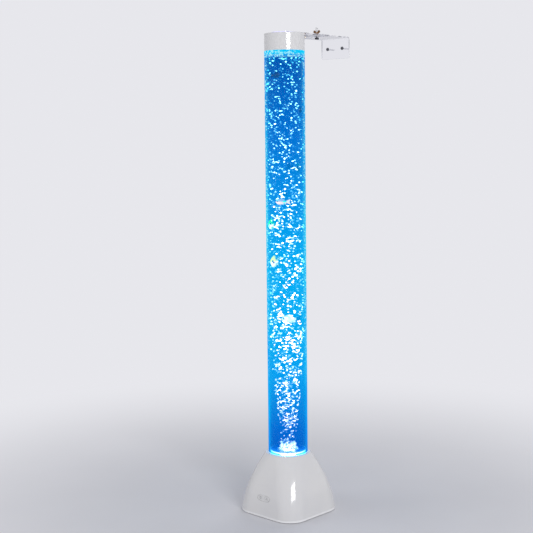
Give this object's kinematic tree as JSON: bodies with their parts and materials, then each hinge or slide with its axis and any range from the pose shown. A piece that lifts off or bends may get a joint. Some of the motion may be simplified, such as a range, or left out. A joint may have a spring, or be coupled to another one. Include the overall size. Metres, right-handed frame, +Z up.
{
  "type": "bubble tube floor lamp",
  "caption": "Tall clear water tube with rising bubbles and toy fish, lit from a square flared base that holds an air pump, with a cap and a clear bracket that ties it to a wall.",
  "frame": {"origin": "centre of the base on the floor, where the feet stand", "axes": "+Z up along the tube; -Y towards the control buttons; +Y towards the wall bracket"},
  "size_m": [0.1968, 0.3184, 1.222],
  "materials": {
    "white_gloss": "smooth gloss moulded",
    "white_matt": "satin moulded",
    "black_rubber": "matt",
    "steel": "zinc plated",
    "dark_steel": "black oxide",
    "nickel": "nickel plated",
    "brass": "plain, slightly dulled",
    "tube_acrylic": "clear polished",
    "disc_acrylic": "clear polished",
    "clear_acrylic": "clear polished",
    "clear_silicone": "translucent",
    "board_white": "solder mask",
    "board_green": "solder mask",
    "led_lens": "clear lens over a pale well",
    "air_stone": "coarse sintered",
    "grey_plastic": "fine texture",
    "black_plastic": "fine texture",
    "button_white": "satin",
    "core_iron": "laminated sheet",
    "copper": "enamelled wire",
    "magnet": "nickel plated",
    "water": "clear, lit blue",
    "fish_black": "painted soft plastic",
    "fish_blue": "painted soft plastic",
    "fish_green": "painted soft plastic",
    "fish_spotted": "painted soft plastic",
    "fish_pale": "painted soft plastic",
    "fish_yellow": "painted soft plastic"
  },
  "bodies": {
    "lamp": {"base_shell": "white_gloss", "bottom_plate": "white_matt", "rubber_feet": "black_rubber", "cover_screws": "steel", "frame_screws": "steel", "support_frame": "white_matt", "tube": "tube_acrylic", "bottom_disc": "disc_acrylic", "collar_seal": "clear_silicone", "led_board": "board_white", "led_lights": "led_lens", "led_board_screws": "steel", "air_fitting": "nickel", "fitting_washer": "black_rubber", "fitting_nut": "nickel", "air_stone": "air_stone", "pump_tray": "grey_plastic", "pump_cover": "grey_plastic", "pump_mounts": "black_rubber", "pump_core": "core_iron", "pump_coil": "copper", "pump_valve_box": "black_plastic", "pump_diaphragm": "black_rubber", "pump_pivot_pin": "steel", "air_hose_lower": "clear_silicone", "check_valve": "black_plastic", "air_hose_upper": "clear_silicone", "control_board": "board_green", "tact_switches": "black_plastic", "dc_jack": "black_plastic", "jack_nut": "nickel", "wires": "black_plastic", "water": "water"},
    "power_button": {"power_button": "button_white", "power_plunger": "black_plastic"},
    "colour_button": {"colour_button": "button_white", "colour_plunger": "black_plastic"},
    "pump_lever": {"pump_lever": "black_plastic", "pump_magnet": "magnet"},
    "cap": {"cap": "white_gloss", "cap_seal": "clear_silicone", "arm": "clear_acrylic", "arm_screws": "nickel"},
    "wall_bracket": {"wall_bracket": "clear_acrylic", "wall_screws": "dark_steel", "bracket_bolt": "steel", "guide_screw": "brass", "guide_nut": "brass"},
    "bolt_washer": {"bolt_washer": "nickel"},
    "wing_nut": {"wing_nut": "brass"},
    "fish_black_small": {"fish_black_small": "fish_black"},
    "fish_black_tail": {"fish_black_tail": "fish_black"},
    "fish_dark_blue": {"fish_dark_blue": "fish_blue"},
    "fish_green_dark": {"fish_green_dark": "fish_green"},
    "fish_spotted": {"fish_spotted": "fish_spotted"},
    "fish_pale_blue": {"fish_pale_blue": "fish_pale"},
    "fish_green_white": {"fish_green_white": "fish_green"},
    "fish_yellow_white": {"fish_yellow_white": "fish_yellow"},
    "fish_long_white": {"fish_long_white": "fish_pale"}
  },
  "joints": [
    {"name": "power_button_press", "type": "slide", "parent": "lamp", "child": "power_button", "axis": [0, 1, 0], "range_m": [0, 0.001], "stiffness_N_per_m": 600},
    {"name": "colour_button_press", "type": "slide", "parent": "lamp", "child": "colour_button", "axis": [0, 1, 0], "range_m": [0, 0.001], "stiffness_N_per_m": 600},
    {"name": "cap_lift", "type": "slide", "parent": "lamp", "child": "cap", "axis": [0, 0, 1], "range_m": [0, 0.08]},
    {"name": "bracket_slide", "type": "slide", "parent": "cap", "child": "wall_bracket", "axis": [0, 1, 0], "range_m": [-0.009, 0.009]},
    {"name": "washer_rise", "type": "slide", "parent": "wall_bracket", "child": "bolt_washer", "axis": [0, 0, 1], "range_m": [0, 0.0016]},
    {"name": "wing_nut_turn", "type": "hinge", "parent": "bolt_washer", "child": "wing_nut", "pos_m": [0, 0.121, 1.204], "axis": [0, 0, 1], "range_deg": [0, 720]},
    {"name": "pump_lever_swing", "type": "hinge", "parent": "lamp", "child": "pump_lever", "pos_m": [0.016, 0, 0.037], "axis": [0, 1, 0], "range_deg": [-2.5, 2.5], "stiffness_Nm_per_rad": 1.5, "deforming": ["pump_diaphragm"]},
    {"name": "fish_black_small_drift", "type": "slide", "parent": "lamp", "child": "fish_black_small", "axis": [0, 0, 1], "range_m": [0, 0.03], "deforming": ["water"]},
    {"name": "fish_black_tail_drift", "type": "slide", "parent": "lamp", "child": "fish_black_tail", "axis": [0, 0, 1], "range_m": [0, 0.1]},
    {"name": "fish_dark_blue_drift", "type": "slide", "parent": "lamp", "child": "fish_dark_blue", "axis": [0, 0, 1], "range_m": [0, 0.105]},
    {"name": "fish_green_dark_drift", "type": "slide", "parent": "lamp", "child": "fish_green_dark", "axis": [0, 0, 1], "range_m": [0, 0.105]},
    {"name": "fish_spotted_drift", "type": "slide", "parent": "lamp", "child": "fish_spotted", "axis": [0, 0, 1], "range_m": [0, 0.045]},
    {"name": "fish_pale_blue_drift", "type": "slide", "parent": "lamp", "child": "fish_pale_blue", "axis": [0, 0, 1], "range_m": [0, 0.06]},
    {"name": "fish_green_white_drift", "type": "slide", "parent": "lamp", "child": "fish_green_white", "axis": [0, 0, 1], "range_m": [0, 0.03]},
    {"name": "fish_yellow_white_drift", "type": "slide", "parent": "lamp", "child": "fish_yellow_white", "axis": [0, 0, 1], "range_m": [0, 0.058]},
    {"name": "fish_long_white_drift", "type": "slide", "parent": "lamp", "child": "fish_long_white", "axis": [0, 0, 1], "range_m": [0, 0.09]}
  ],
  "couplings": [
    {"joint": "washer_rise", "follows": "wing_nut_turn", "m_per_rad": 0.00012732}
  ]
}
